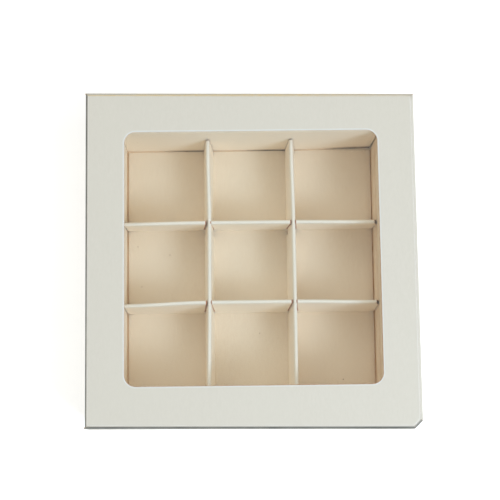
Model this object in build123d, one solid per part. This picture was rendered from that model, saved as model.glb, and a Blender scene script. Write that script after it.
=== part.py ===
from build123d import *
import os
from math import hypot

# Partitioned paperboard storage box: telescoping lid with a film window, tray base with hollow
# frame-style walls, loose floor card and a loose grid of four folded dividers.
# +X is right, +Y is back, +Z is up. The origin is the centre of the underside. Millimetres.

# Lid
lid_width = 134.0           # outside, left to right
lid_length = 136.0          # outside, front to back
overall_height = 36.5       # closed box, underside to top
skirt_depth = 22.0          # top of the lid to the lower edge of its skirts
key_leg = 3.2               # each leg of the clipped front right corner
lid_tab_length = 12.0       # glue tab, along the front and back skirts

# Window
border_side = 15.7          # lid edge to window, left and right
border_end = 16.6           # lid edge to window, front and back
window_shift_x = 0.35       # the window is die-cut slightly off centre
window_shift_y = 0.6
window_radius = 4.4
film_lap = 5.6              # film beyond the window edge, all round
film_thickness = 0.2
glue_thickness = 0.1
glue_width = 3.0
glue_setback = 1.5          # window edge to the glue line

# Board
board = 0.5                 # caliper of the folded board
fold_radius = 1.2           # outside radius of the main folds
rim_fold_radius = 1.0       # outside radius of the fold between ledge and inner wall
flange_fold_radius = 0.9    # outside radius of the fold between inner wall and flange

# Base
rim_width = 14.5            # lid edge to compartment face, left and right
rim_width_end = 16.0        # lid edge to compartment face, front and back
flange_width = 10.0
base_tab_length = 12.0

# Dividers
divider_height = 22.5       # floor card to the top of the fold
divider_fold_width = 1.45   # across both leaves at the fold
divider_foot_width = 4.0    # across both leaves at the feet
divider_end_radius = 2.5    # lower corners of each end
slot_share = 0.75           # part of the height that the cross dividers are slotted
cross_divider_inset = 0.73  # how much nearer the middle than an even third each one stands

# Clearances
lid_clearance = 0.4         # each side, between the lid and the base
stack_clearance = 0.1       # between the film and the rim under it
card_clearance = 0.7        # card edge to the inner walls
end_clearance = 0.5         # divider end to the inner walls
slot_clearance = 0.25       # each side, in the divider slots
slot_seat_clearance = 0.4   # height left between the two slot ends
tab_margin = 1.5            # glue tab edges to the folds and free edges
tab_taper = 2.5             # how far a glue tab narrows at its free end

# Derived heights
lid_underside = overall_height - board
film_top = lid_underside - glue_thickness
film_underside = film_top - film_thickness
rim_top = film_underside - stack_clearance
flange_bottom = board
card_bottom = flange_bottom + board
card_top = card_bottom + board
divider_top = card_top + divider_height
skirt_bottom = overall_height - skirt_depth

# Derived plan sizes, measured from the centre
lid_half_x = lid_width / 2
lid_half_y = lid_length / 2
base_half_x = lid_half_x - board - lid_clearance
base_half_y = lid_half_y - 2 * board - lid_clearance
# The clipped corner of the base stands back from the lid's by the larger of the two gaps.
key_gap = 2 * board + lid_clearance
base_key_leg = base_half_x + base_half_y - (lid_half_x + lid_half_y - key_leg) + key_gap * 2 ** 0.5
compartment_half_x = lid_half_x - rim_width
compartment_half_y = lid_half_y - rim_width_end
window_half_x = lid_half_x - border_side
window_half_y = lid_half_y - border_end

reach = 4 * (lid_width + lid_length)    # longer than anything in the box


def keyed_outline(half_x, half_y, leg):
    """Corner points of a rectangle with its front right corner clipped, counter-clockwise."""
    return [
        (-half_x, -half_y),
        (half_x - leg, -half_y),
        (half_x, -half_y + leg),
        (half_x, half_y),
        (-half_x, half_y),
    ]


def plain_outline(half_x, half_y):
    """Corner points of a rectangle, counter-clockwise from the front left."""
    return [(-half_x, -half_y), (half_x, -half_y), (half_x, half_y), (-half_x, half_y)]


def inward(start, end):
    """Unit vector that points from one side of a counter-clockwise outline to its inside."""
    length = hypot(end[0] - start[0], end[1] - start[1])
    return (-(end[1] - start[1]) / length, (end[0] - start[0]) / length)


def inset(points, distance):
    """Outline with every side moved inwards by distance; a negative one moves it outwards."""
    count = len(points)
    result = []
    for i in range(count):
        before, here, after = points[i - 1], points[i], points[(i + 1) % count]
        ax, ay = inward(before, here)
        bx, by = inward(here, after)
        share = distance / (1 + ax * bx + ay * by)
        result.append((here[0] + (ax + bx) * share, here[1] + (ay + by) * share))
    return result


def plate(points, bottom, thickness):
    """Flat sheet with the given outline."""
    face = make_face(Polyline(*points, close=True))
    return Pos(0, 0, bottom) * extrude(face, thickness)


def leaf(across, bottom, top):
    """Section of an upright sheet, its near face at across."""
    return Pos(across + board / 2, (bottom + top) / 2) * Rectangle(board, top - bottom)


def bend(radius, centre, side, rise):
    """Section of a quarter-round fold about centre, towards side (-1 or 1) and rise (-1 or 1)."""
    ring = Circle(radius) - Circle(radius - board)
    quarter = Pos(side * radius / 2, rise * radius / 2) * Rectangle(radius, radius)
    return Pos(*centre) * (ring & quarter)


def folded_side(outline, i, section, near, far):
    """Section run along side i of outline, mitred to its neighbours.

    The section is drawn as (distance inwards, height). near and far are the inward distances
    that the mitre has to cover.
    """
    start = outline[i]
    end = outline[(i + 1) % len(outline)]
    nx, ny = inward(start, end)
    plane = Plane(
        origin=(start[0] - ny * reach, start[1] + nx * reach, 0),
        x_dir=(nx, ny, 0),
        z_dir=(ny, -nx, 0),
    )
    run = extrude(plane * section, 2 * reach)
    outer = inset(outline, near)
    inner = inset(outline, far)
    j = (i + 1) % len(outline)
    wedge = plate([outer[i], outer[j], inner[j], inner[i]], -reach, 2 * reach)
    return run & wedge


def glue_tab(x, direction, y, inner, bottom, top, length):
    """Tapered glue tab lying on the inside of a front or back panel.

    It starts at x, runs in direction (-1 or 1), and fills y to y + inner.
    """
    face = make_face(
        Polyline(
            (x, bottom),
            (x + direction * length, bottom + tab_taper),
            (x + direction * length, top - tab_taper),
            (x, top),
            close=True,
        )
    )
    return extrude(Plane.XZ.offset(-y) * face, -inner)


def window_outline(margin):
    """Rounded window outline, grown by margin."""
    shape = RectangleRounded(
        2 * (window_half_x + margin), 2 * (window_half_y + margin), window_radius + margin
    )
    return Pos(window_shift_x, window_shift_y) * shape


def lid_parts():
    """Top panel, five skirts and four glue tabs of the lid's blank."""
    outline = keyed_outline(lid_half_x, lid_half_y, key_leg)
    panel = plate(inset(outline, fold_radius), lid_underside, board)
    hole = Pos(0, 0, lid_underside) * extrude(window_outline(0), board)
    parts = {"lid_top_panel": panel - hole}
    section = leaf(0, skirt_bottom, overall_height - fold_radius)
    section += bend(fold_radius, (fold_radius, overall_height - fold_radius), -1, 1)
    names = ["front_skirt", "key_corner_skirt", "right_skirt", "back_skirt", "left_skirt"]
    for i, name in enumerate(names):
        parts["lid_" + name] = folded_side(outline, i, section, 0, fold_radius)
    inner_x = lid_half_x - board
    inner_y = lid_half_y - board
    low = skirt_bottom + tab_margin
    high = overall_height - fold_radius - tab_margin
    key_x = inner_x - key_leg
    starts = {"back_left": (-inner_x, 1), "back_right": (inner_x, -1)}
    starts.update({"front_left": (-inner_x, 1), "front_right": (key_x, -1)})
    for place, (x, direction) in starts.items():
        y, into = (inner_y, -board) if place.startswith("back") else (-inner_y, board)
        tab = glue_tab(x, direction, y, into, low, high, lid_tab_length)
        parts["lid_" + place + "_tab"] = tab
    return parts


def film_parts():
    """Clear film under the window and the glue line that holds it to the lid."""
    sheet = Rectangle(2 * (window_half_x + film_lap), 2 * (window_half_y + film_lap))
    film = Pos(window_shift_x, window_shift_y, film_underside) * extrude(sheet, film_thickness)
    ring = window_outline(glue_setback + glue_width) - window_outline(glue_setback)
    glue = Pos(0, 0, film_top) * extrude(ring, glue_thickness)
    return {"window_film": film, "film_glue_line": glue}


def base_shell_parts():
    """Floor, outer walls, rim ledges and glue tabs of the base's blank."""
    outline = keyed_outline(base_half_x, base_half_y, base_key_leg)
    flat = inset(outline, fold_radius)
    parts = {"base_floor": plate(flat, 0, board)}
    section = leaf(0, fold_radius, rim_top - fold_radius)
    section += bend(fold_radius, (fold_radius, fold_radius), -1, -1)
    section += bend(fold_radius, (fold_radius, rim_top - fold_radius), -1, 1)
    names = ["front_wall", "key_corner_wall", "right_wall", "back_wall", "left_wall"]
    for i, name in enumerate(names):
        parts["base_" + name] = folded_side(outline, i, section, 0, fold_radius)

    ledge = plate(flat, rim_top - board, board)
    opening = plain_outline(
        compartment_half_x + rim_fold_radius, compartment_half_y + rim_fold_radius
    )
    ledge -= plate(opening, rim_top - board, board)
    square = plain_outline(base_half_x, base_half_y)
    for i, name in enumerate(["front", "right", "back", "left"]):
        j = (i + 1) % 4
        wedge = plate([square[i], square[j], opening[j], opening[i]], 0, rim_top)
        parts["rim_" + name + "_ledge"] = ledge & wedge

    inner_x = base_half_x - board
    inner_y = base_half_y - board
    low = fold_radius + tab_margin
    high = rim_top - fold_radius - tab_margin
    key_x = inner_x - base_key_leg
    starts = {"back_left": (-inner_x, 1), "back_right": (inner_x, -1)}
    starts.update({"front_left": (-inner_x, 1), "front_right": (key_x, -1)})
    for place, (x, direction) in starts.items():
        y, into = (inner_y, -board) if place.startswith("back") else (-inner_y, board)
        tab = glue_tab(x, direction, y, into, low, high, base_tab_length)
        parts["base_" + place + "_tab"] = tab
    return parts


def inner_wall_parts():
    """Inner walls of the hollow frame, and the flanges that turn in under the floor card."""
    outline = plain_outline(compartment_half_x, compartment_half_y)
    flange_start = flange_fold_radius - board
    foot = flange_bottom + flange_fold_radius
    section = leaf(-board, foot, rim_top - rim_fold_radius)
    section += bend(rim_fold_radius, (-rim_fold_radius, rim_top - rim_fold_radius), 1, 1)
    section += bend(flange_fold_radius, (flange_start, foot), -1, -1)
    ring = inset(outline, flange_start)
    free = inset(outline, flange_start + flange_width)
    parts = {}
    for i, name in enumerate(["front", "right", "back", "left"]):
        wall = folded_side(outline, i, section, -rim_fold_radius, flange_start)
        parts[name + "_inner_wall"] = wall
        j = (i + 1) % 4
        flange = plate([ring[i], ring[j], free[j], free[i]], flange_bottom, board)
        parts[name + "_inner_flange"] = flange
    return parts


def cell_floor_card():
    """Loose card that covers the flanges and makes the floor of every cell."""
    half_x = compartment_half_x - card_clearance
    half_y = compartment_half_y - card_clearance
    return plate(plain_outline(half_x, half_y), card_bottom, board)


def tent_section():
    """Section of a divider: one sheet folded into two leaves that spread towards the feet."""
    fold_half = divider_fold_width / 2
    foot_half = divider_foot_width / 2
    fold_height = divider_height - fold_half

    def solid(narrow, wide):
        legs = Polyline(
            (-wide, 0), (wide, 0), (narrow, fold_height), (-narrow, fold_height), close=True
        )
        return make_face(legs) + Pos(0, fold_height) * Circle(narrow)

    return solid(fold_half, foot_half) - solid(fold_half - board, foot_half - board)


def divider_width_at(height):
    """Outside width of a divider at a height above its feet."""
    fold_height = divider_height - divider_fold_width / 2
    spread = (divider_foot_width - divider_fold_width) * (1 - height / fold_height)
    return divider_fold_width + spread


def divider(length, slot_places, slot_width, slot_low, slot_high):
    """Divider along X with its feet at height 0, slotted from slot_low to slot_high."""
    side = Pos(0, divider_height / 2) * Rectangle(length, divider_height)
    ends = side.vertices().filter_by_position(Axis.Y, -1, 1)
    side = fillet(ends, divider_end_radius)
    for place in slot_places:
        middle = (slot_low + slot_high) / 2
        side -= Pos(place, middle) * Rectangle(slot_width, slot_high - slot_low)
    slab = extrude(Plane.XZ * side, divider_foot_width, both=True)
    run = extrude(Plane.YZ * tent_section(), length, both=True)
    return run & slab


def divider_parts():
    """Two long dividers, slotted from below, that drop over two cross dividers."""
    long_place = compartment_half_x / 3
    cross_place = compartment_half_y / 3 - cross_divider_inset
    seat = divider_height * (1 - slot_share)
    cross = divider(
        2 * (compartment_half_x - end_clearance),
        (-long_place, long_place),
        divider_width_at(seat) + 2 * slot_clearance,
        seat,
        divider_height,
    )
    long_one = divider(
        2 * (compartment_half_y - end_clearance),
        (-cross_place, cross_place),
        divider_foot_width + 2 * slot_clearance,
        0,
        seat + slot_seat_clearance,
    )
    return {
        "front_cross_divider": Pos(0, -cross_place, card_top) * cross,
        "back_cross_divider": Pos(0, cross_place, card_top) * cross,
        "left_long_divider": Pos(-long_place, 0, card_top) * Rot(0, 0, 90) * long_one,
        "right_long_divider": Pos(long_place, 0, card_top) * Rot(0, 0, 90) * long_one,
    }


parts = {}
parts.update(lid_parts())
parts.update(film_parts())
parts.update(base_shell_parts())
parts.update(inner_wall_parts())
parts["cell_floor_card"] = cell_floor_card()
parts.update(divider_parts())

os.makedirs("parts", exist_ok=True)
for node, shape in parts.items():
    export_step(shape, "parts/" + node + ".step")
print(len(parts), "nodes")
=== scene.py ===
import math
import bmesh
import bpy
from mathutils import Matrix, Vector, noise


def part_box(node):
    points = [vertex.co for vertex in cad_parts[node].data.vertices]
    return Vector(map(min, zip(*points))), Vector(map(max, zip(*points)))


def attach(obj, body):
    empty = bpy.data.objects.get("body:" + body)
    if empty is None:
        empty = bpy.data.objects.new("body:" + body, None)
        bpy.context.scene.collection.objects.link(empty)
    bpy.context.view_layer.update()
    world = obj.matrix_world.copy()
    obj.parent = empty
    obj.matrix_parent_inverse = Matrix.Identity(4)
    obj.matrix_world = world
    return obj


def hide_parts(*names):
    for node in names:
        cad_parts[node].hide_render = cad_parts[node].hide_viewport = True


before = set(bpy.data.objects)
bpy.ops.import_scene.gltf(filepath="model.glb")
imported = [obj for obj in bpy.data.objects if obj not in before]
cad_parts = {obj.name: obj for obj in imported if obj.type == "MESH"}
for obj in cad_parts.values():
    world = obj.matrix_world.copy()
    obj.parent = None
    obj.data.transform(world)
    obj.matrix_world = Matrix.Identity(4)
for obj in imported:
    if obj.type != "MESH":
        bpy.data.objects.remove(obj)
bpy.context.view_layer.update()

mm = 0.001                              # every length below is in metres
hair = 1e-6                             # m, distances below this count as none


# camera, floor and light

cameraSetup = {
    "place": (-7.51, -77.34, 580.6),    # mm, a little left of the middle and in front of it
    "tilt": 8.42,                       # degrees off straight down, towards the back
    "pan": 0.72,
    "roll": 0.65,
    "lens": 98.66,                      # mm
    "sensor": 36.0,                     # mm
    "clip": (0.01, 20.0),               # m
}


def makeCamera(setup):
    data = bpy.data.cameras.new("camera")
    data.sensor_width = setup["sensor"]
    data.lens = setup["lens"]
    data.clip_start, data.clip_end = setup["clip"]
    camera = bpy.data.objects.new("camera", data)
    bpy.context.scene.collection.objects.link(camera)
    camera.location = Vector(setup["place"]) * mm
    camera.rotation_mode = "ZYX"
    camera.rotation_euler = (
        math.radians(setup["tilt"]),
        math.radians(-setup["pan"]),
        math.radians(-setup["roll"]),
    )
    bpy.context.scene.camera = camera


makeCamera(cameraSetup)


def linearColour(text):
    parts = [int(text[i:i + 2], 16) / 255 for i in (1, 3, 5)]
    lin = [c / 12.92 if c <= 0.04045 else ((c + 0.055) / 1.055) ** 2.4 for c in parts]
    return (*lin, 1.0)


def addNode(tree, kind, links=None, **settings):
    node = tree.nodes.new(kind)         # settings are node properties or, failing that, inputs
    for name, value in settings.items():
        if hasattr(node, name):
            setattr(node, name, value)
        else:
            node.inputs[name.replace("_", " ")].default_value = value
    for name, source in (links or {}).items():
        tree.links.new(source, node.inputs[name])
    return node


# softboxes: metres and watts, "from" is the direction that the light comes from
studio = {
    "key": {
        "from": (0.50, -0.45, 0.74), "away": 0.95, "size": 0.34, "power": 3.5,
        "colour": "#d3e5ff",
    },
    "top": {
        "from": (0.30, -0.05, 0.95), "away": 1.00, "size": 0.9, "power": 2.45,
        "colour": "#fffefb",
    },
    "fill": {
        "from": (-0.50, 0.50, 0.70), "away": 1.25, "size": 0.6, "power": 2.0,
        "colour": "#fffdf8",
    },
    "skyColour": "#fdfeff",
    "skyStrength": 0.45,
    "floorColours": ("#fafaf8", "#f8f8f7"),
    "floorSize": 6.0,                   # m
    "floorCloud": 0.25,                 # m
    "floorRough": 0.9,
    "floorGlow": 0.38,                  # a little light of its own keeps the paper plain white
    "bounces": 10,                      # pale board passes light on many times in a deep cell
}


def makeSoftbox(name, spec):
    lamp = bpy.data.lights.new(name, "AREA")
    lamp.shape = "SQUARE"
    lamp.size = spec["size"]
    lamp.energy = spec["power"]
    lamp.color = linearColour(spec["colour"])[:3]
    box = bpy.data.objects.new(name, lamp)
    bpy.context.scene.collection.objects.link(box)
    away = Vector(spec["from"]).normalized()
    box.location = away * spec["away"]
    box.rotation_mode = "QUATERNION"
    box.rotation_quaternion = away.to_track_quat("Z", "Y")


def makeStudio(setup):
    scene = bpy.context.scene
    scene.view_settings.view_transform = "Standard"
    scene.cycles.diffuse_bounces = setup["bounces"]
    world = bpy.data.worlds.new("softStudio")
    scene.world = world
    world.use_nodes = True
    back = world.node_tree.nodes["Background"]
    back.inputs["Color"].default_value = linearColour(setup["skyColour"])
    back.inputs["Strength"].default_value = setup["skyStrength"]
    makeSoftbox("keySoftbox", setup["key"])
    makeSoftbox("topSoftbox", setup["top"])
    makeSoftbox("fillSoftbox", setup["fill"])


makeStudio(studio)
print("camera and studio ready")


# sizes read from the frame

def lowOf(node):
    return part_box(node)[0]


def highOf(node):
    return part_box(node)[1]


def middleOf(node):
    return (lowOf(node) + highOf(node)) / 2


board = highOf("lid_top_panel").z - lowOf("lid_top_panel").z
foldRadius = highOf("lid_front_skirt").y - lowOf("lid_front_skirt").y
lidTop = highOf("lid_top_panel").z
lidHalfX = highOf("lid_right_skirt").x
lidHalfY = highOf("lid_back_skirt").y
lidKeyLeg = lidHalfX - highOf("lid_front_skirt").x
skirtBottom = lowOf("lid_front_skirt").z
baseHalfX = highOf("base_right_wall").x
baseHalfY = highOf("base_back_wall").y
baseKeyLeg = baseHalfX - highOf("base_front_wall").x
rimTop = highOf("rim_back_ledge").z
rimFold = 1.0 * mm                      # outside radius of the ledge to inner wall fold
flangeTurn = 0.4 * mm                   # how far the foot of an inner wall turns in
cellHalfX = -highOf("rim_left_ledge").x - rimFold
cellHalfY = lowOf("rim_back_ledge").y - rimFold
cardTop = highOf("cell_floor_card").z


# the small unevenness of folded board

squareness = {
    "rack": 0.0117,                     # the shell leans out of square by this slope
    "start": 54 * mm,                   # no lean inside this distance from the middle line
    "full": 66 * mm,
}


def racked(p):
    t = (abs(p.y) - squareness["start"]) / (squareness["full"] - squareness["start"])
    t = max(0.0, min(1.0, t))
    t = t * t * (3 - 2 * t)
    return Vector((p.x, p.y - squareness["rack"] * p.x * t, p.z))


def ripple(p, size, height, seed):
    # slow waves of this length and height
    return noise.noise(Vector((p.x / size + seed, p.y / size - seed, p.z / size + 2 * seed))) * height


# board and film finishes

def newMaterial(name):
    material = bpy.data.materials.new(name)
    material.use_nodes = True
    tree = material.node_tree
    shader = tree.nodes["Principled BSDF"]
    return material, tree, shader


def mixColours(tree, factor, under, over):
    # under may be a colour or the output of another node
    mix = addNode(tree, "ShaderNodeMix", {"Factor": factor}, data_type="RGBA")
    if isinstance(under, str):
        mix.inputs[6].default_value = linearColour(under)
    else:
        tree.links.new(under, mix.inputs[6])
    mix.inputs[7].default_value = linearColour(over)
    return mix.outputs[2]


def paperSurface(name, spec):
    # fibre, cloud, tooth and relief are real sizes in mm
    material, tree, shader = newMaterial(name)
    place = addNode(tree, "ShaderNodeTexCoord").outputs["Object"]
    grain = addNode(tree, "ShaderNodeMapping", {"Vector": place}, Scale=spec["grainStretch"])
    fibre = addNode(
        tree, "ShaderNodeTexNoise", {"Vector": grain.outputs["Vector"]},
        Scale=1 / (spec["fibre"] * mm), Detail=4.0, Roughness=0.62, Distortion=0.6,
    )
    cloud = addNode(
        tree, "ShaderNodeTexNoise", {"Vector": place},
        Scale=1 / (spec["cloud"] * mm), Detail=3.0, Roughness=0.5,
    )
    tooth = addNode(
        tree, "ShaderNodeTexNoise", {"Vector": place},
        Scale=1 / (spec["tooth"] * mm), Detail=3.0, Roughness=0.7,
    )
    # fibre and cloud shift the colour by a few percent between a darker and a lighter furnish
    blend = addNode(
        tree, "ShaderNodeMapRange", {"Value": fibre.outputs["Fac"]},
        **{"From_Min": 0.3, "From_Max": 0.7},
    )
    tone = mixColours(tree, blend.outputs["Result"], spec["dark"], spec["light"])
    colour = mixColours(tree, cloud.outputs["Fac"], tone, spec["drift"])
    for layer in spec.get("layers", []):
        colour = layerOver(tree, colour, layer)
    if "specks" in spec:
        colour = addSpecks(tree, colour, place, spec["specks"])
    tree.links.new(colour, shader.inputs["Base Color"])
    patchy = 0.05                       # roughness drifts this much either way
    rough = addNode(
        tree, "ShaderNodeMapRange", {"Value": cloud.outputs["Fac"]},
        **{"To_Min": spec["rough"] - patchy, "To_Max": spec["rough"] + patchy},
    )
    tree.links.new(rough.outputs["Result"], shader.inputs["Roughness"])
    height = addNode(
        tree, "ShaderNodeMath", {0: fibre.outputs["Fac"], 1: tooth.outputs["Fac"]}, operation="ADD",
    )
    bump = addNode(
        tree, "ShaderNodeBump", {"Height": height.outputs["Value"]},
        Strength=spec["bump"], Distance=spec["relief"] * mm,
    )
    tree.links.new(bump.outputs["Normal"], shader.inputs["Normal"])
    shader.inputs["IOR"].default_value = spec["ior"]
    shader.inputs["Sheen Weight"].default_value = spec.get("sheen", 0.0)
    return material


def layerOver(tree, colour, layer):
    # a painted mask from the mesh, broken up by noise, brings in another colour
    mask = addNode(tree, "ShaderNodeAttribute", attribute_name=layer["mask"])
    place = addNode(tree, "ShaderNodeTexCoord").outputs["Object"]
    broken = addNode(
        tree, "ShaderNodeTexNoise", {"Vector": place}, Scale=1 / (layer["size"] * mm), Detail=3.0,
    )
    lifted = addNode(
        tree, "ShaderNodeMapRange", {"Value": broken.outputs["Fac"]},
        **{"From_Min": 0.35, "From_Max": 0.65, "To_Min": layer["thin"], "To_Max": 1.0},
    )
    amount = addNode(
        tree, "ShaderNodeMath", {0: mask.outputs["Fac"], 1: lifted.outputs["Result"]},
        operation="MULTIPLY", use_clamp=True,
    )
    return mixColours(tree, amount.outputs["Value"], colour, layer["colour"])


def addSpecks(tree, colour, place, spec):
    cells = addNode(
        tree, "ShaderNodeTexVoronoi", {"Vector": place}, Scale=1 / (spec["spacing"] * mm),
    )
    pick = addNode(
        tree, "ShaderNodeMapRange", {"Value": cells.outputs["Distance"]},
        **{"From_Min": spec["reach"], "From_Max": spec["reach"] * 0.5},
    )
    return mixColours(tree, pick.outputs["Result"], colour, spec["colour"])


specks = {"spacing": 9.0, "reach": 0.035, "colour": "#8d7352"}    # bark fibres in raw board

# clay-coated solid bleached board, calendered: cool white, smooth, a soft broad gloss
clayCoatedBoard = paperSurface("clayCoatedBoardCalendered", {
    "grainStretch": (1.0, 0.35, 1.0),
    "fibre": 0.9, "cloud": 26, "tooth": 0.25,
    "dark": "#dfdaca", "light": "#e5e0d1", "drift": "#e2dece",
    "rough": 0.46, "bump": 0.09, "relief": 0.05, "ior": 1.47,
    "layers": [
        # painted highlight: a lighter line along the window's rolled cut edge
        {"mask": "cutRimHighlight", "size": 3.0, "thin": 0.7, "colour": "#e9ece6"},
        # tan raw core on the cut edge, with painted shade along the right and front of the window
        {"mask": "rawCoreAndShadeRim", "size": 2.0, "thin": 0.7, "colour": "#bd8450"},
        # painted highlight along the ridge where the top turns into each fold
        {"mask": "ridge", "size": 9.0, "thin": 0.6, "colour": "#f6f4ea"},
        # painted shade: grey on the folds of the skirts
        {"mask": "paintedCreaseShade", "size": 9.0, "thin": 0.88, "colour": "#60625b"},
        {"mask": "worn", "size": 1.6, "thin": 0.6, "colour": "#e2cc9c"},
        {"mask": "scuff", "size": 2.2, "thin": 0.2, "colour": "#b9b4a2"},
    ],
})

# bare side of the same board: cream, matt, with a visible run of fibres
bareCreamBoard = paperSurface("bareCreamBoardUncoated", {
    "grainStretch": (1.0, 0.3, 1.0),
    "fibre": 0.8, "cloud": 18, "tooth": 0.3,
    "dark": "#f6ead8", "light": "#fdf3e3", "drift": "#faefde",
    "rough": 0.82, "bump": 0.3, "relief": 0.06, "ior": 1.4, "sheen": 0.15,
    "layers": [
        # painted shade: a darker tan at the foot of the inner walls and over the right wall
        {"mask": "gapShade", "size": 6.0, "thin": 0.7, "colour": "#c8994a"},
        # painted shade: near-black brown under the back wall
        {"mask": "footDark", "size": 4.0, "thin": 0.8, "colour": "#4c3221"},
    ],
    "specks": specks,
})

# loose card on the cell floor: unbleached back of the board, a shade deeper than the walls
cellFloorCream = paperSurface("creamCardUncoated", {
    "grainStretch": (1.0, 0.3, 1.0),
    "fibre": 0.8, "cloud": 18, "tooth": 0.3,
    "dark": "#e4d5c1", "light": "#eee2d0", "drift": "#e9dbc8",
    "rough": 0.82, "bump": 0.3, "relief": 0.06, "ior": 1.4, "sheen": 0.15,
    "specks": specks,
})

# divider board: cream faces, a cooler white band along the top of the fold
dividerBoard = paperSurface("dividerBoardFolded", {
    "grainStretch": (1.0, 1.0, 0.3),
    "fibre": 0.8, "cloud": 15, "tooth": 0.3,
    "dark": "#f5ead9", "light": "#fdf5e7", "drift": "#f9efe0",
    "rough": 0.7, "bump": 0.22, "relief": 0.05, "ior": 1.45, "sheen": 0.1,
    "layers": [
        {"mask": "fold", "size": 4.0, "thin": 0.85, "colour": "#f5efe6"},
        # brown band painted along the edges of each slot
        {"mask": "slotBrownBand", "size": 1.5, "thin": 0.9, "colour": "#a8560f"},
    ],
})

# core of the board where a die has cut it: tan, open fibres
cutCore = paperSurface("dieCutBoardCore", {
    "grainStretch": (1.0, 1.0, 3.0),
    "fibre": 0.5, "cloud": 5, "tooth": 0.15,
    "dark": "#b98b5c", "light": "#d9b387", "drift": "#c99f6f",
    "rough": 0.9, "bump": 0.5, "relief": 0.06, "ior": 1.4, "sheen": 0.2,
})

# the same core painted dark brown as painted shade: slot edges, the hollow inside of each tent and
# its open ends
shadedSlotCore = paperSurface("dieCutCorePaintedShade", {
    "grainStretch": (1.0, 1.0, 3.0),
    "fibre": 0.5, "cloud": 5, "tooth": 0.15,
    "dark": "#663510", "light": "#9c5c20", "drift": "#824816",
    "rough": 0.92, "bump": 0.5, "relief": 0.06, "ior": 1.4, "sheen": 0.1,
})


def clearFilm(name, spec):
    # extruded clear film, thin: it only shows by its reflections, faint haze and hair scratches
    material, tree, shader = newMaterial(name)
    place = addNode(tree, "ShaderNodeTexCoord").outputs["Object"]
    stretch = addNode(
        tree, "ShaderNodeMapping", {"Vector": place}, Scale=(1.0, 1 - spec["scratchDraw"], 1.0),
    )
    stretch.inputs["Rotation"].default_value = (0.0, 0.0, math.radians(spec["scratchTurn"]))
    marks = addNode(
        tree, "ShaderNodeTexVoronoi", {"Vector": stretch.outputs["Vector"]},
        Scale=1 / (spec["scratchSpacing"] * mm),
    )
    scratch = addNode(
        tree, "ShaderNodeMapRange", {"Value": marks.outputs["Distance"]},
        **{"From_Min": spec["scratchWidth"], "From_Max": 0.0, "To_Max": spec["scratch"]},
    )
    # the share of light thrown back grows towards a grazing look, the same on both faces
    facing = addNode(tree, "ShaderNodeLayerWeight", Blend=0.5)
    steep = addNode(tree, "ShaderNodeMath", {0: facing.outputs["Facing"]}, operation="POWER")
    steep.inputs[1].default_value = spec["steep"]
    glare = addNode(
        tree, "ShaderNodeMapRange", {"Value": steep.outputs["Value"]},
        **{"To_Min": spec["glare"], "To_Max": spec["grazingGlare"]},
    )
    share = addNode(
        tree, "ShaderNodeMath", {0: glare.outputs["Result"], 1: scratch.outputs["Result"]},
        operation="ADD", use_clamp=True,
    )
    through = addNode(tree, "ShaderNodeBsdfTransparent", Color=linearColour(spec["through"]))
    mix = addNode(
        tree, "ShaderNodeMixShader",
        {0: share.outputs["Value"], 1: through.outputs["BSDF"], 2: shader.outputs["BSDF"]},
    )
    haze = addNode(
        tree, "ShaderNodeTexNoise", {"Vector": place}, Scale=1 / (spec["haze"] * mm), Detail=2.0,
    )
    soft = addNode(
        tree, "ShaderNodeMapRange", {"Value": haze.outputs["Fac"]},
        **{"To_Min": spec["rough"][0], "To_Max": spec["rough"][1]},
    )
    tree.links.new(soft.outputs["Result"], shader.inputs["Roughness"])
    shader.inputs["Base Color"].default_value = linearColour(spec["back"])
    shader.inputs["Metallic"].default_value = 1.0
    end = tree.nodes["Material Output"]
    tree.links.new(mix.outputs["Shader"], end.inputs["Surface"])
    return material


windowFilmClear = clearFilm("clearFilmExtruded", {
    "through": "#fdfefc", "back": "#f4f6f4",
    "glare": 0.02, "grazingGlare": 0.7, "steep": 4.5,
    "haze": 14, "rough": (0.05, 0.14),
    "scratch": 0.08, "scratchTurn": 35, "scratchSpacing": 6.0, "scratchWidth": 0.03,
    "scratchDraw": 0.88,
})

# dried adhesive line: milky, slightly glossy, uneven
driedGlue = paperSurface("driedAdhesive", {
    "grainStretch": (1.0, 1.0, 1.0),
    "fibre": 1.5, "cloud": 8, "tooth": 0.6,
    "dark": "#cfc6ae", "light": "#e2dcc8", "drift": "#d9d1bb",
    "rough": 0.4, "bump": 0.4, "relief": 0.08, "ior": 1.48,
})


def floorSweep():
    # matt white background paper, lit evenly enough to read as plain white
    material, tree, shader = newMaterial("mattPaperSweep")
    place = addNode(tree, "ShaderNodeTexCoord").outputs["Object"]
    cloud = addNode(
        tree, "ShaderNodeTexNoise", {"Vector": place}, Scale=1 / studio["floorCloud"], Detail=2.0,
    )
    tone = mixColours(tree, cloud.outputs["Fac"], *studio["floorColours"])
    tree.links.new(tone, shader.inputs["Base Color"])
    shader.inputs["Roughness"].default_value = studio["floorRough"]
    shader.inputs["Emission Color"].default_value = linearColour("#ffffff")
    shader.inputs["Emission Strength"].default_value = studio["floorGlow"]
    mesh = bpy.data.meshes.new("floor")
    half = studio["floorSize"] / 2
    corners = [(-half, -half, 0), (half, -half, 0), (half, half, 0), (-half, half, 0)]
    mesh.from_pydata(corners, [], [(0, 1, 2, 3)])
    mesh.materials.append(material)
    floor = bpy.data.objects.new("floor", mesh)
    bpy.context.scene.collection.objects.link(floor)


floorSweep()
print("materials and floor ready")


# building sheets of board

def keyedOutline(halfX, halfY, leg):
    return [
        Vector((-halfX, -halfY)), Vector((halfX - leg, -halfY)), Vector((halfX, -halfY + leg)),
        Vector((halfX, halfY)), Vector((-halfX, halfY)),
    ]


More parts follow.
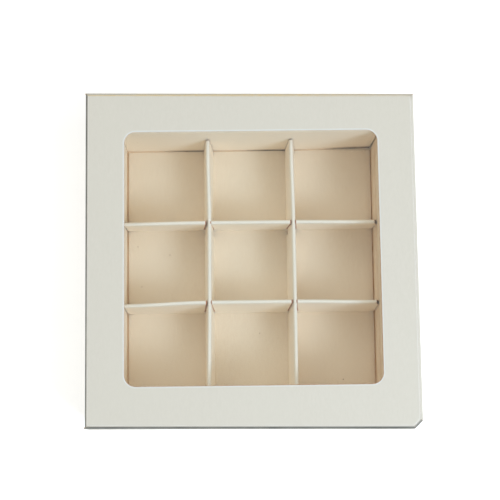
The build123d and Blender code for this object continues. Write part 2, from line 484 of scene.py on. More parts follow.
def plainOutline(halfX, halfY):
    return [
        Vector((-halfX, -halfY)), Vector((halfX, -halfY)),
        Vector((halfX, halfY)), Vector((-halfX, halfY)),
    ]


def inwardOf(a, b):
    d = (b - a).normalized()
    return Vector((-d.y, d.x))


def inset(points, distance):
    count = len(points)
    result = []
    for i in range(count):
        m = inwardOf(points[i - 1], points[i])
        n = inwardOf(points[i], points[(i + 1) % count])
        result.append(points[i] + (m + n) * (distance / (1 + m.dot(n))))
    return result


def arcPath(centre, radius, start, end, steps):
    # (depth, height) points on a fold, angles in degrees
    return [
        (
            centre[0] + radius * math.cos(math.radians(start + (end - start) * k / steps)),
            centre[1] + radius * math.sin(math.radians(start + (end - start) * k / steps)),
        )
        for k in range(steps + 1)
    ]


def straightPath(a, b, steps):
    return [
        (a[0] + (b[0] - a[0]) * k / steps, a[1] + (b[1] - a[1]) * k / steps)
        for k in range(1, steps + 1)
    ]


def gridMesh(name, rows, masks=None, keep=None):
    # rows of points become a quad surface; keep(r, c) leaves quads out; masks are per point
    mesh = bpy.data.meshes.new(name)
    wide = len(rows[0])
    verts = [p for row in rows for p in row]
    quads = [
        (r * wide + c, r * wide + c + 1, (r + 1) * wide + c + 1, (r + 1) * wide + c)
        for r in range(len(rows) - 1) for c in range(wide - 1)
        if keep is None or keep(r, c)
    ]
    mesh.from_pydata(verts, [], quads)
    for label, values in (masks or {}).items():
        layer = mesh.attributes.new(label, "FLOAT", "POINT")
        layer.data.foreach_set("value", [v for row in values for v in row])
    bm = bmesh.new()
    bm.from_mesh(mesh)
    bmesh.ops.delete(bm, geom=[v for v in bm.verts if not v.link_faces], context="VERTS")
    bmesh.ops.dissolve_degenerate(bm, dist=1e-7, edges=bm.edges)
    bm.to_mesh(mesh)
    bm.free()
    return mesh


def faceTowards(mesh, towards):
    # turns the whole surface so that its normals mostly point along towards(centre)
    score = sum(f.normal.dot(towards(f.center)) * f.area for f in mesh.polygons)
    if score < 0:
        mesh.flip_normals()


cutEdge = {
    "round": 0.05 * mm,
    "roundOver": 50,                    # degrees: steeper corners are rounded
    "sharpOver": 35,                    # degrees: steeper corners shade as edges
}


def pieceName(node):
    first, *rest = node.split("_")
    return first + "".join(word.capitalize() for word in rest)


def boardPiece(name, mesh, body, replaced, finish, thickness=None, edge=None, inside=None):
    # one skin of board gets its caliper by Solidify: finish outside, inside behind, edge on cuts
    piece = bpy.data.objects.new(name, mesh)
    bpy.context.scene.collection.objects.link(piece)
    for material in (finish, inside or bareCreamBoard, edge or cutCore):
        mesh.materials.append(material)
    skin = piece.modifiers.new("caliper", "SOLIDIFY")
    skin.thickness = thickness or board
    skin.offset = -1.0
    skin.use_even_offset = True
    skin.material_offset = 1
    skin.material_offset_rim = 2
    soften = piece.modifiers.new("cutEdge", "BEVEL")
    soften.width = cutEdge["round"]
    soften.segments = 2
    soften.limit_method = "ANGLE"
    soften.angle_limit = math.radians(cutEdge["roundOver"])
    soften.harden_normals = True
    applyModifiers(piece)
    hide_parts(*replaced)
    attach(piece, body)
    return piece


def applyModifiers(piece):
    graph = bpy.context.evaluated_depsgraph_get()
    done = bpy.data.meshes.new_from_object(
        piece.evaluated_get(graph), preserve_all_data_layers=True, depsgraph=graph
    )
    piece.modifiers.clear()
    piece.data = done
    for polygon in done.polygons:
        polygon.use_smooth = True
    done.set_sharp_from_angle(angle=math.radians(cutEdge["sharpOver"]))


def sideMesh(name, outline, i, path, spec):
    # the path of (depth, height) runs along side i, its ends on the mitre lines
    j = (i + 1) % len(outline)
    n = inwardOf(outline[i], outline[j])
    along = (outline[j] - outline[i]).normalized()
    rows = []
    masks = {label: [] for label in spec.get("masks", {})}
    count = spec["columns"]
    top = max(h for d, h in path)
    for depth, height in path:
        inner = inset(outline, depth)
        setback = spec.get("setback", 0.0) * min(1.0, max(0.0, (top - height) / foldRadius))
        a = inner[i] + along * setback
        b = inner[j] - along * setback
        if "cutEnd" in spec:            # rounds one top corner of a flap, short of a full quarter
            flap = spec["cutEnd"]
            r = flap["round"]
            over = min(max(height - (top - flap["below"] - r), 0.0), r)
            a = a + along * (flap["in"] + r - math.sqrt(r * r - over * over * flap["share"]))
        row = []
        values = {label: [] for label in masks}
        for k in range(count + 1):
            p = a.lerp(b, k / count)
            p = Vector((p.x, p.y, height))
            for label in masks:
                values[label].append(spec["masks"][label](p, depth, k / count))
            sway = spec["sway"](p, k / count) if "sway" in spec else 0.0
            p = p + Vector((n.x, n.y, 0.0)) * sway
            row.append(racked(p))
        rows.append(row)
        for label in masks:
            masks[label].append(values[label])
    mesh = gridMesh(name, rows, masks)
    inwards = 1 if spec.get("faceIn") else -1
    direction = Vector((n.x, n.y, 0.0)) * inwards
    faceTowards(mesh, lambda c: direction)
    return mesh


def panelMesh(name, outline, height, cell, shape=None, up=True):
    # flat panel of any outline, cut into cells, then shaped point by point
    bm = bmesh.new()
    face = bm.faces.new([bm.verts.new((p.x, p.y, height)) for p in outline])
    low = Vector((min(p.x for p in outline), min(p.y for p in outline)))
    high = Vector((max(p.x for p in outline), max(p.y for p in outline)))
    for axis in (0, 1):
        steps = max(2, round((high[axis] - low[axis]) / cell))
        normal = Vector((1, 0, 0)) if axis == 0 else Vector((0, 1, 0))
        for k in range(1, steps):
            at = low[axis] + (high[axis] - low[axis]) * k / steps
            bmesh.ops.bisect_plane(
                bm, geom=bm.verts[:] + bm.edges[:] + bm.faces[:],
                plane_co=normal * at, plane_no=normal, dist=1e-7,
            )
    bmesh.ops.triangulate(bm, faces=[f for f in bm.faces if len(f.verts) > 4])
    for v in bm.verts:
        v.co = racked(v.co + (shape(v.co) if shape else Vector((0, 0, 0))))
    mesh = bpy.data.meshes.new(name)
    bm.to_mesh(mesh)
    bm.free()
    towards = Vector((0, 0, 1 if up else -1))
    faceTowards(mesh, lambda c: towards)
    return mesh


# lid

lidSpec = {
    "columns": 56,
    "foldSteps": 12,
    "skirtRows": 9,
    "skirtBow": 0.22 * mm,              # how far a long skirt draws in between its corners
    "skirtEase": 8 * mm,                # and over what depth that grows
    "skirtWave": (24 * mm, 0.06 * mm, 1.7),     # length, height and seed
    "topWave": (32 * mm, 0.07 * mm, 3.1),
    "leftFoldIn": (0.2 * mm, 0.6 * mm), # the left fold is pressed tighter, back and front
    "rollOver": [(0.9, 0.0), (0.45, 0.012), (0.3, 0.04), (0.16, 0.09), (0.0, 0.19)],  # mm
    "windowRadius": 4.4 * mm,
    "windowPoints": 240,
    "cornerFan": (0.35, 8),             # degrees between extra points at a corner, and how many
    "windowRings": 12,
    "cutRimHighlight": (0.2 * mm, 0.6 * mm),     # band of the roll-over painted lighter as a painted highlight; inside it is raw
    "rawLess": (0.75, 0.5),             # how much less of it the back and left edges get
    "ridgeRing": 0.35,                  # share of a ring that the painted highlight line on the ridge takes
    "ridgeTurn": 0.12,                  # and the share of the fold below it
    "wornFold": {
        "wide": 1.15 * mm, "narrow": 0.35 * mm, "reach": 70 * mm, "top": 0.7, "least": 0.25,
    },
    "creaseFade": 1.7 * mm,
    "creaseStart": 0.12,                # share of a front or back fold left without painted shade
    "creaseRise": 0.3,                  # share of the fold over which the grey sets in
    "scuff": {"height": 1.6 * mm, "endShare": 1 / 130, "low": 0.5, "ends": 0.6},
    # strength of the painted shade on each fold: strong on the left and front, none on the right
    "creaseShadeStrength": {
        "left_skirt": 0.92, "front_skirt": 0.95, "key_corner_skirt": 0.8,
        "right_skirt": 0.0, "back_skirt": 0.35,
    },
}
filmSpec = {
    "lap": 5.6 * mm,                    # hidden border under the lid
    "cells": 44,
    "sag": 0.12 * mm,
    "wave": (30 * mm, 0.05 * mm, 5.2),
    "waveShown": 0.6,
    "held": (4, 0.8),                   # slope and power with which the film leaves its border
}
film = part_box("window_film")
window = {
    "centre": (film[0] + film[1]) / 2,
    "halfX": (film[1].x - film[0].x) / 2 - filmSpec["lap"],
    "halfY": (film[1].y - film[0].y) / 2 - filmSpec["lap"],
}


def roundedRay(angle, halfX, halfY, radius):
    # point of a rounded rectangle seen from its centre at this angle
    c, s = math.cos(angle), math.sin(angle)
    far = min(halfX / max(abs(c), 1e-9), halfY / max(abs(s), 1e-9))
    x, y = c * far, s * far
    cx, cy = halfX - radius, halfY - radius
    if abs(x) > cx and abs(y) > cy:
        bx, by = math.copysign(cx, c), math.copysign(cy, s)
        along = c * bx + s * by
        far = along + math.sqrt(max(along * along - (bx * bx + by * by) + radius * radius, 0.0))
        x, y = c * far, s * far
    return Vector((x, y))


def polygonRay(angle, centre, outline):
    d = Vector((math.cos(angle), math.sin(angle)))
    best = None
    for i in range(len(outline)):
        a, b = outline[i], outline[(i + 1) % len(outline)]
        e = b - a
        cross = d.x * e.y - d.y * e.x
        if abs(cross) < 1e-12:
            continue
        w = a - centre
        far = (w.x * e.y - w.y * e.x) / cross
        share = (w.x * d.y - w.y * d.x) / cross
        if far > 0 and -1e-9 <= share <= 1 + 1e-9 and (best is None or far < best):
            best = far
    return centre + d * best


def rawAndShadeShare(angle):
    # the die has bared the tan core round the window; along the right and front it is made stronger
    # as painted shade from the lid's border
    back, left = lidSpec["rawLess"]
    return (1.0 - back * max(0.0, math.sin(angle))) * (1.0 - left * max(0.0, -math.cos(angle)))


def wornFade(p):
    return max(0.0, 1.0 - max(p.x, 0.0) / lidSpec["wornFold"]["reach"])


def lidTopMesh():
    outline = inset(keyedOutline(lidHalfX, lidHalfY, lidKeyLeg), foldRadius)
    centre = Vector((window["centre"].x, window["centre"].y))
    points = lidSpec["windowPoints"]
    angles = [2 * math.pi * k / points for k in range(points)]
    angles += [math.atan2((p - centre).y, (p - centre).x) % (2 * math.pi) for p in outline]
    corner = math.atan2(window["halfY"] - 2 * mm, window["halfX"] - 2 * mm)
    fan, extra = lidSpec["cornerFan"]
    for base in (corner, math.pi - corner, math.pi + corner, 2 * math.pi - corner):
        angles += [base + math.radians(fan) * k for k in range(-extra, extra + 1)]
    angles = sorted(set(round(a % (2 * math.pi), 6) for a in angles))
    angles.append(angles[0])
    rows, rim, raw = [], [], []
    radius = lidSpec["windowRadius"]
    rings = [(s * mm, -drop * mm) for s, drop in reversed(lidSpec["rollOver"])]
    rimIn, rimOut = lidSpec["cutRimHighlight"]
    for grow, drop in rings:
        row = []
        for a in angles:
            p = centre + roundedRay(
                a, window["halfX"] + grow, window["halfY"] + grow, radius + grow
            )
            row.append(Vector((p.x, p.y, lidTop + drop)))
        rows.append(row)
        # painted highlight band along the cut edge
        rim.append([1.0 if rimIn < grow < rimOut else 0.0] * len(angles))
        bare = 1.0 if grow < rimIn else 0.0
        # raw core, stronger along the right and front as painted shade
        raw.append([bare * rawAndShadeShare(a) for a in angles])
    last = rows[-1]
    count = lidSpec["windowRings"]
    for k in [*range(1, count), count - lidSpec["ridgeRing"], count]:
        row = []
        for a, p in zip(angles, last):
            q = polygonRay(a, centre, outline)
            t = k / count
            point = p.lerp(Vector((q.x, q.y, lidTop)), t)
            free = math.sin(math.pi * t) ** 2
            point.z += ripple(point, *lidSpec["topWave"]) * free
            row.append(point)
        rows.append(row)
        rim.append([0.0] * len(angles))
        raw.append([0.0] * len(angles))
    backLine = outline[3].y - 0.01 * mm
    worn = [[0.0] * len(angles) for row in rows[:-1]]
    worn.append([
        lidSpec["wornFold"]["top"] * wornFade(p) if p.y > backLine else 0.0 for p in rows[-1]
    ])
    ridge = [[0.0] * len(angles) for row in rows[:-1]]
    # painted highlight along the ridge, left out at the back
    ridge.append([0.0 if p.y > backLine else 1.0 for p in rows[-1]])
    rows = [[racked(p) for p in row] for row in rows]
    masks = {"cutRimHighlight": rim, "rawCoreAndShadeRim": raw, "worn": worn, "ridge": ridge}
    mesh = gridMesh("lidTopPanel", rows, masks)
    bm = bmesh.new()
    bm.from_mesh(mesh)
    bmesh.ops.remove_doubles(bm, verts=bm.verts, dist=1e-6)
    bm.to_mesh(mesh)
    bm.free()
    faceTowards(mesh, lambda c: Vector((0, 0, 1)))
    return mesh


def lidSkirtPath():
    r = foldRadius
    path = arcPath((r, lidTop - r), r, 90, 180, lidSpec["foldSteps"])
    return path + straightPath((0, lidTop - r), (0, skirtBottom), lidSpec["skirtRows"])


def wornBack(p, depth, share):
    # the coat has cracked along the back fold, more at its left end
    worn = lidSpec["wornFold"]
    reach = worn["wide"] + (worn["narrow"] - worn["wide"]) * share
    inside = 1.0 if foldRadius - depth < reach and p.z > lidTop - foldRadius else 0.0
    return inside * (worn["least"] + (1 - worn["least"]) * wornFade(p))


def creaseShade(strength, start):
    # painted shade on the fold, from near the top of the fold to a little below it
    def shade(p, depth, share):
        below = (lidTop - foldRadius) - p.z
        if below > 0:
            return strength * max(0.0, 1.0 - below / lidSpec["creaseFade"])
        turn = 1.0 - depth / foldRadius
        return strength * min(1.0, max(0.0, (turn - start) / lidSpec["creaseRise"]))
    return shade


def paintRidgeHighlight(p, depth, share):
    # painted highlight on the ridge where the top rolls into the fold
    turn = 1.0 - depth / foldRadius
    return max(0.0, 1.0 - turn / lidSpec["ridgeTurn"]) if p.z > lidTop - foldRadius else 0.0


def scuffLow(p, depth, share):
    # handling rubs the free edge and the corners of a skirt
    scuff = lidSpec["scuff"]
    low = max(0.0, 1.0 - (p.z - skirtBottom) / scuff["height"])
    ends = max(0.0, 1.0 - min(share, 1 - share) / scuff["endShare"])
    return min(1.0, scuff["low"] * low + scuff["ends"] * ends)


def makeLid():
    outline = keyedOutline(lidHalfX, lidHalfY, lidKeyLeg)
    boardPiece(
        "lidTopPanel", lidTopMesh(), "lid", ["lid_top_panel"], clayCoatedBoard
    )
    names = ["front_skirt", "key_corner_skirt", "right_skirt", "back_skirt", "left_skirt"]
    for i, label in enumerate(names):
        short = label == "key_corner_skirt"
        side = label in ("left_skirt", "right_skirt")
        back, front = lidSpec["leftFoldIn"] if label == "left_skirt" else (0.0, 0.0)

        def belly(p, share):
            tighter = back + (front - back) * share
            fall = min(1.0, max(0.0, (lidTop - foldRadius - p.z) / lidSpec["skirtEase"]))
            turn = min(1.0, (lidTop - p.z) / foldRadius)
            bow = lidSpec["skirtBow"] + ripple(p, *lidSpec["skirtWave"])
            return tighter * turn + bow * fall * math.sin(math.pi * share)

        spec = {
            "columns": 4 if short else lidSpec["columns"],
            "setback": board if side else 0.0,
            "masks": {
                "scuff": scuffLow,
                # painted shade on the fold, its strength set per side
                "paintedCreaseShade": creaseShade(
                    lidSpec["creaseShadeStrength"][label], 0.0 if side else lidSpec["creaseStart"]
                ),
                # painted highlight on the ridge of the fold
                "ridge": paintRidgeHighlight,
            },
            "sway": (lambda p, share: 0.0) if short else belly,
        }
        if label == "back_skirt":
            spec["masks"]["worn"] = wornBack
        mesh = sideMesh("lid_" + label, outline, i, lidSkirtPath(), spec)
        name = pieceName("lid_" + label)
        boardPiece(name, mesh, "lid", ["lid_" + label], clayCoatedBoard)


tabSpec = {
    "taper": 2.5 * mm,                  # a tab is this much narrower at its tip, each side
    "clear": 0.02 * mm,                 # hair line of glue between tab and panel
    "squeezed": 0.9,                    # share of the caliper left after pressing
    "steps": 8,
    "rows": (0.33, 0.66),               # shares of the height
}


def makeTabs(body):
    # glue tabs: thin tapered flaps stuck to the inside of the front and back panels
    for place in ("back_left", "back_right", "front_left", "front_right"):
        node = body + "_" + place + "_tab"
        low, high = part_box(node)
        inner = high.x if low.x < 0 else low.x
        outer = low.x if low.x < 0 else high.x
        front = place.startswith("front")
        y = low.y + tabSpec["clear"] if front else high.y - tabSpec["clear"]
        rows = []
        for k in range(tabSpec["steps"] + 1):
            t = k / tabSpec["steps"]
            x = outer + (inner - outer) * t
            narrower = tabSpec["taper"] * t
            rows.append([
                racked(Vector((x, y, z)))
                for z in (
                    low.z + narrower,
                    *(low.z + (high.z - low.z) * share for share in tabSpec["rows"]),
                    high.z - narrower,
                )
            ])
        mesh = gridMesh(node, rows)
        towards = Vector((0, -1 if front else 1, 0))
        faceTowards(mesh, lambda c: towards)
        boardPiece(
            pieceName(node), mesh, body, [node], clayCoatedBoard,
            thickness=board * tabSpec["squeezed"],
        )


def makeFilm():
    low, high = film
    cells = filmSpec["cells"]
    slope, power = filmSpec["held"]
    rows = []
    for r in range(cells + 1):
        row = []
        for c in range(cells + 1):
            u, v = c / cells, r / cells
            x = low.x + (high.x - low.x) * u
            y = low.y + (high.y - low.y) * v
            free = min(1.0, slope * min(u, 1 - u, v, 1 - v) ** power)
            dip = filmSpec["sag"] * free * math.sin(math.pi * u) * math.sin(math.pi * v)
            lift = ripple(Vector((x, y, 0)), *filmSpec["wave"]) * free * filmSpec["waveShown"]
            row.append(Vector((x, y, high.z - dip + lift - filmSpec["wave"][1] * free)))
        rows.append(row)
    mesh = gridMesh("windowFilm", rows)
    faceTowards(mesh, lambda c: Vector((0, 0, 1)))
    boardPiece(
        "windowFilm", mesh, "lid", ["window_film"], windowFilmClear,
        thickness=high.z - low.z, edge=windowFilmClear, inside=windowFilmClear,
    )
    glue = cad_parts["film_glue_line"]
    glue.data.materials.clear()
    glue.data.materials.append(driedGlue)


makeLid()
makeTabs("lid")
makeFilm()
print("lid ready")


# base shell with hollow frame walls

baseSpec = {
    "columns": 48,
    "foldSteps": 8,
    "wallRows": 10,
    "wallBow": 0.18 * mm,
    "mitreGap": 0.12 * mm,
    "cell": 6 * mm,
}
baseOutline = keyedOutline(baseHalfX, baseHalfY, baseKeyLeg)
baseFlat = inset(baseOutline, foldRadius)


def baseWallPath():
    r = foldRadius
    path = arcPath((r, rimTop - r), r, 90, 180, baseSpec["foldSteps"])
    path += straightPath((0, rimTop - r), (0, r), baseSpec["wallRows"])
    return path + arcPath((r, r), r, 180, 270, baseSpec["foldSteps"])[1:]


def makeBaseFloor():
    mesh = panelMesh("baseFloor", baseFlat, 0.0, baseSpec["cell"], up=False)
    boardPiece("baseFloor", mesh, "base", ["base_floor"], clayCoatedBoard)


def makeBaseWalls():
    names = ["front_wall", "key_corner_wall", "right_wall", "back_wall", "left_wall"]
    for i, label in enumerate(names):
        short = label == "key_corner_wall"

        def belly(p, share):
            level = math.sin(math.pi * min(1.0, max(0.0, p.z / rimTop)))
            return baseSpec["wallBow"] * math.sin(math.pi * share) * level

        spec = {
            "columns": 4 if short else baseSpec["columns"],
            "setback": board if label in ("left_wall", "right_wall") else 0.0,
            "sway": (lambda p, share: 0.0) if short else belly,
        }
        mesh = sideMesh("base_" + label, baseOutline, i, baseWallPath(), spec)
        name = pieceName("base_" + label)
        boardPiece(name, mesh, "base", ["base_" + label], clayCoatedBoard)


def makeRimLedges():
    # mitred strips round the cells; front and right share the key corner between them
    opening = plainOutline(cellHalfX + rimFold, cellHalfY + rimFold)
    square = plainOutline(baseHalfX - foldRadius, baseHalfY - foldRadius)
    keyMiddle = (baseFlat[1] + baseFlat[2]) / 2
    gap = baseSpec["mitreGap"]
    for i, label in enumerate(["front", "right", "back", "left"]):
        j = (i + 1) % 4
        along = (square[j] - square[i]).normalized()
        outer = [square[i] + along * gap, square[j] - along * gap]
        if label == "front":
            outer = [outer[0], baseFlat[1], keyMiddle]
        if label == "right":
            outer = [keyMiddle, baseFlat[2], outer[1]]
        loop = outer + [opening[j] - along * gap, opening[i] + along * gap]
        mesh = panelMesh("rim" + label, loop, rimTop, baseSpec["cell"], up=True)
        boardPiece(
            "rim" + label.capitalize() + "Ledge", mesh, "base", ["rim_" + label + "_ledge"],
            clayCoatedBoard,
        )


innerSpec = {
    "columns": 40,
    "turnSteps": 5,
    "bow": 0.25 * mm,                   # the free middle of each inner wall bellies in
    "footTop": 0.9 * mm,                # where the turned foot lies, above the flange's underside
    "footTurn": 0.5 * mm,               # height of the turn itself
    "backLean": 0.9 * mm,               # foot of the back wall pushed out at its right end
    "leanFrom": (17 * mm, 35 * mm),     # where along the wall that starts, and over what length
    "curl": 0.9 * mm,                   # the back wall's right end curls forward at the top
    "curlLength": 5 * mm,
    "curlRise": 1.5,                    # the curl is full above two thirds of the wall
    "flap": {"round": 1.8 * mm, "below": 1.2 * mm, "in": 0.35 * mm, "share": 0.96},
    # height of the painted shade at the foot of each wall, tallest on the right wall
    "gap": {"front": 0.9 * mm, "right": 5.0 * mm, "back": 0.9 * mm, "left": 0.9 * mm},
    "gapDark": {"front": 0.4, "right": 0.42, "back": 0.12, "left": 0.55},
    "shade": {"front": 0.0, "right": 0.4, "back": 0.0, "left": 0.05},
    "footShade": (0.45, 0.6, 0.8),      # painted shade under the back wall, at the right of each cell
    "footShadeFrom": (0.4, 0.3),            # share of a cell where it starts, and over what share
    "shadeBand": {"at": 19 * mm, "half": 5 * mm, "dark": 0.3},     # painted shade band along the right wall
}


def innerWallPath():
    top = rimTop - rimFold
    turn = cardTop - 2 * board + innerSpec["footTop"] - innerSpec["footTurn"]
    path = arcPath((-rimFold, top), rimFold, 90, 0, baseSpec["foldSteps"])
    path += straightPath((0, top), (0, turn), baseSpec["wallRows"])
    return path + arcPath((flangeTurn, turn), flangeTurn, 180, 270, innerSpec["turnSteps"])[1:]


def makeInnerWalls():
    outline = plainOutline(cellHalfX, cellHalfY)
    leftAt = middleOf("left_long_divider").x
    rightAt = middleOf("right_long_divider").x
    cellEdges = (-cellHalfX, leftAt, rightAt, cellHalfX)
    for i, label in enumerate(["front", "right", "back", "left"]):

        def sway(p, share):
            level = (p.z - cardTop) / (rimTop - cardTop)
            bow = innerSpec["bow"] * math.sin(math.pi * share) * math.sin(
                math.pi * min(1.0, max(0.0, level))
            )
            if label == "back":
                start, length = innerSpec["leanFrom"]
                right = max(0.0, (p.x - start) / length)
                bow -= innerSpec["backLean"] * right * max(0.0, 1 - level)
                tip = max(0.0, (p.x - cellHalfX) / innerSpec["curlLength"] + 1)
                rise = min(1.0, max(0.0, level * innerSpec["curlRise"]))
                bow += innerSpec["curl"] * tip * tip * rise
            return bow

        # painted shade: darker at the foot of each wall, over the whole right wall and in a band
        # along it
        def gapShade(p, depth, share):
            low = max(0.0, min(1.0, 1.0 - (p.z - cardTop) / innerSpec["gap"][label]))
            dark = low * innerSpec["gapDark"][label] + innerSpec["shade"][label]
            if label == "right":
                shadeBand = innerSpec["shadeBand"]
                dark += shadeBand["dark"] * max(0.0, 1.0 - abs(p.z - shadeBand["at"]) / shadeBand["half"])
            return min(1.0, dark)

        # painted shade along the foot of the back wall, growing towards the right of each cell
        def footDark(p, depth, share):
            if label != "back":
                return 0.0
            low = max(0.0, 1.0 - max(0.0, p.z - cardTop) / innerSpec["gap"]["back"])
            cell = sum(p.x > x for x in cellEdges[1:3])
            along = (p.x - cellEdges[cell]) / (cellEdges[cell + 1] - cellEdges[cell])
            start, length = innerSpec["footShadeFrom"]
            return low * innerSpec["footShade"][cell] * max(0.0, min(1.0, (along - start) / length))

        masks = {"gapShade": gapShade, "footDark": footDark}
        spec = {
            "columns": innerSpec["columns"], "faceIn": True, "sway": sway, "masks": masks,
        }
        if label == "back":
            spec["cutEnd"] = innerSpec["flap"]
        mesh = sideMesh(label + "_inner_wall", outline, i, innerWallPath(), spec)
        boardPiece(
            label + "InnerWall", mesh, "base", [label + "_inner_wall"],
            bareCreamBoard,
        )
        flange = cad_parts[label + "_inner_flange"]
        flange.data.materials.clear()
        flange.data.materials.append(bareCreamBoard)


cardSpec = {
    "cell": 3 * mm,
    "crown": 0.10 * mm,
    "skew": 0.35 * mm,                  # the card is not quite square: its back right corner is out
    "wave": (28 * mm, 0.05 * mm, 8.8),
}


def makeFloorCard():
    low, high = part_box("cell_floor_card")
    outline = [
        Vector((low.x, low.y)), Vector((high.x, low.y)),
        Vector((high.x + cardSpec["skew"], high.y + cardSpec["skew"])), Vector((low.x, high.y)),
    ]

    def shape(p):
        u = p.x / high.x
        v = p.y / high.y
        lift = cardSpec["crown"] * (1 - u * u) * (1 - v * v)
        return Vector((0, 0, lift + ripple(p, *cardSpec["wave"])))

    mesh = panelMesh("cellFloorCard", outline, high.z, cardSpec["cell"], shape)
    boardPiece(
        "cellFloorCard", mesh, "base", ["cell_floor_card"], cellFloorCream
    )


makeBaseFloor()
makeBaseWalls()
makeRimLedges()
makeTabs("base")
makeInnerWalls()
makeFloorCard()
print("base ready")


# folded dividers

dividerSpec = {
    "step": 2.6 * mm,
    "foldHalf": 0.725 * mm,
    "endRadius": 2.5 * mm,
    "crossSlotFloor": 5.625 * mm,       # height left under the open slots of a cross divider
    "longSlotTop": 6.025 * mm,          # height of the slots in a long divider
    "crossSlotHalf": 1.9 * mm,
    "longSlotHalf": 2.25 * mm,
    "slotPlay": 0.08 * mm,              # play between a slot's slanting sides and the other tent
    "slotBandWidth": 0.5 * mm,               # brown band painted along each slot
    "slotBandFull": 0.6,                     # share of it that is fully brown
    "openEnd": 0.9 * mm,                # the fold stops short, the hollow end shows
    "openDepth": 1.2 * mm,
    "openLong": 0.3,                    # the long dividers do so by this share only
    "wallRows": 9,
    "footRows": (0.8 * mm, 1.6 * mm, 2.5 * mm),     # extra rows round the end radius
    "rowGap": 1.0 * mm,                 # no other row comes closer to a slot's end
    "foldSteps": 12,
    "foldLight": 0.25 * mm,             # the whiter band starts this far below the fold
    "wave": (20 * mm, 0.12 * mm, 4.4),
}
# how far each divider wanders, in mm sideways: back or left end, two crossings, front or right end
dividers = {
    "left_long_divider": {"top": (0.0, 0.5, 0.3, -0.2), "foot": (0.0, 0.0, 0.0, 0.0)},
    "right_long_divider": {"top": (-0.35, 0.2, 0.3, 0.3), "foot": (-0.1, 0.0, 0.0, 0.0)},
    "back_cross_divider": {"top": (-0.3, 0.1, 0.05, -0.3), "foot": (2.3, 2.3, 2.3, 2.4)},
    "front_cross_divider": {"top": (-0.8, 0.35, 0.35, -0.2), "foot": (0.0, 0.0, 0.0, 0.0)},
}


def smoothThrough(values, t):
    # smooth curve through evenly spaced values, t from 0 to 1
    x = t * (len(values) - 1)
    i = min(int(x), len(values) - 2)
    f = x - i
    f = f * f * (3 - 2 * f)
    return values[i] * (1 - f) + values[i + 1] * f


def dividerPlan(node):
    low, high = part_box(node)
    isLong = "long" in node
    run, side = (1, 0) if isLong else (0, 1)    # axes along and across the divider
    centre = middleOf(node)
    others = [other for other in dividers if ("long" in other) != isLong]
    return {
        "long": isLong,
        "run": run,
        "side": side,
        "foot": Vector((centre.x, centre.y, low.z)),
        "height": high.z - low.z,
        "foldBase": high.z - low.z - dividerSpec["foldHalf"],
        "half": (high[run] - low[run]) / 2,
        "footHalf": (high[side] - low[side]) / 2,
        "crossings": [middleOf(other)[run] - centre[run] for other in others],
        "slotHalf": dividerSpec["longSlotHalf" if isLong else "crossSlotHalf"],
        "slotZ": dividerSpec["longSlotTop" if isLong else "crossSlotFloor"],
    }


def dividerColumns(plan):
    # along the divider: its ends, the slots' edges, the brown bands beside them and even steps
    # between
    beside = [0.0] + [dividerSpec["slotBandWidth"] * share for share in (dividerSpec["slotBandFull"], 1.0)]
    edges = [
        c + side * (plan["slotHalf"] + reach)
        for c in plan["crossings"] for side in (-1, 1) for reach in beside
    ]
    stations = sorted([-plan["half"], *edges, plan["half"]])
    columns = stations[:1]
    for a, b in zip(stations[:-1], stations[1:]):
        n = max(1, round((b - a) / dividerSpec["step"]))
        columns += [a + (b - a) * k / n for k in range(1, n + 1)]
    return columns


def tentHalf(plan, h):
    fold = dividerSpec["foldHalf"]
    return fold + (plan["footHalf"] - fold) * (1 - min(h, plan["foldBase"]) / plan["foldBase"])


def dividerPath(plan):
    # (across, height) from one foot over the fold to the other
    base, slotZ = plan["foldBase"], plan["slotZ"]
    count = dividerSpec["wallRows"]
    even = [base * k / count for k in range(1, count)]
    heights = {0.0, *dividerSpec["footRows"], slotZ, base}
    heights = sorted(heights | {h for h in even if abs(h - slotZ) > dividerSpec["rowGap"]})
    wall = [(-tentHalf(plan, h), h) for h in heights]
    arc = arcPath((0, base), dividerSpec["foldHalf"], 180, 0, dividerSpec["foldSteps"])[1:-1]
    return wall + arc + [(-w, h) for w, h in reversed(wall)]


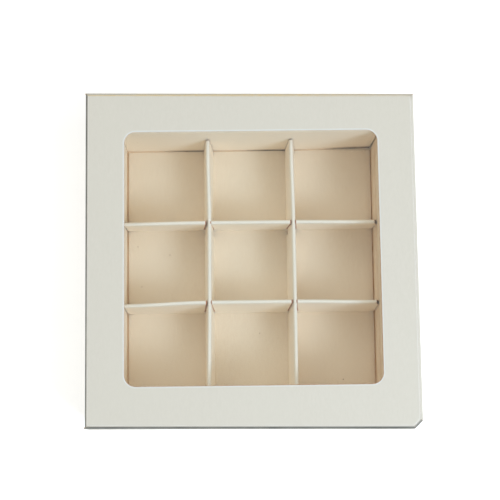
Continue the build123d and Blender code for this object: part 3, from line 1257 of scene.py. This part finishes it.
def runAt(plan, s, h):
    # feet have rounded ends, slots slant with the tent that they hold, the fold is cut short
    half, radius = plan["half"], dividerSpec["endRadius"]
    limit = half
    if h < radius:
        limit = half - (radius - math.sqrt(max(radius ** 2 - (radius - h) ** 2, 0.0)))
    run = max(-limit, min(limit, s))
    for c in plan["crossings"]:
        beyond = abs(s - c) - plan["slotHalf"]
        if not plan["long"] and -hair < beyond < dividerSpec["slotBandWidth"] + hair:
            run = c + math.copysign(tentHalf(plan, h) + dividerSpec["slotPlay"] + beyond, s - c)
    if h > plan["foldBase"] - dividerSpec["openDepth"]:
        openEnd = dividerSpec["openEnd"] * (dividerSpec["openLong"] if plan["long"] else 1.0)
        run = min(run, half - openEnd)
    return run


def dividerPoint(plan, spec, s, wide, h):
    run = runAt(plan, s, h)
    t = (run + plan["half"]) / (2 * plan["half"])
    if plan["long"]:
        t = 1 - t                       # offsets are listed from the back
    share = h / plan["height"]
    lean = smoothThrough(spec["top"], t) * share + smoothThrough(spec["foot"], t) * (1 - share)
    p = plan["foot"].copy()
    p[plan["run"]] += run
    p[plan["side"]] += wide + lean * mm
    p.z += h
    p[plan["side"]] += ripple(p, *dividerSpec["wave"]) * (1 - abs(2 * share - 1))
    return p


def makeDivider(node, spec):
    plan = dividerPlan(node)
    columns = dividerColumns(plan)
    path = dividerPath(plan)
    rows = [[dividerPoint(plan, spec, s, wide, h) for s in columns] for wide, h in path]
    lightFrom = plan["foldBase"] - dividerSpec["foldLight"]
    bandReach = dividerSpec["slotBandWidth"] * dividerSpec["slotBandFull"] + hair

    def inSlotBand(s, h):
        if plan["long"] or h < plan["slotZ"]:
            return 0.0
        return float(any(abs(abs(s - c) - plan["slotHalf"]) < bandReach for c in plan["crossings"]))

    def keep(r, c):
        middle = (columns[c] + columns[c + 1]) / 2
        if all(abs(middle - x) > plan["slotHalf"] - hair for x in plan["crossings"]):
            return True
        level = (path[r][1] + path[r + 1][1]) / 2
        return level > plan["slotZ"] if plan["long"] else level < plan["slotZ"]

    def outwards(c):
        d = c - plan["foot"]
        d[plan["run"]] = 0.0
        d.z = 0.5 * mm                  # the fold faces up
        return d

    masks = {
        "fold": [[float(h > lightFrom)] * len(columns) for wide, h in path],
        "slotBrownBand": [[inSlotBand(s, h) for s in columns] for wide, h in path],
    }
    mesh = gridMesh(node, rows, masks, keep)
    faceTowards(mesh, outwards)
    boardPiece(
        pieceName(node), mesh, "partition_grid", [node], dividerBoard,
        # cut edges and the inside of the tent take the dark brown core, painted shade for the hollow
        edge=shadedSlotCore, inside=shadedSlotCore,
    )


for node, spec in dividers.items():
    makeDivider(node, spec)
print("dividers ready")
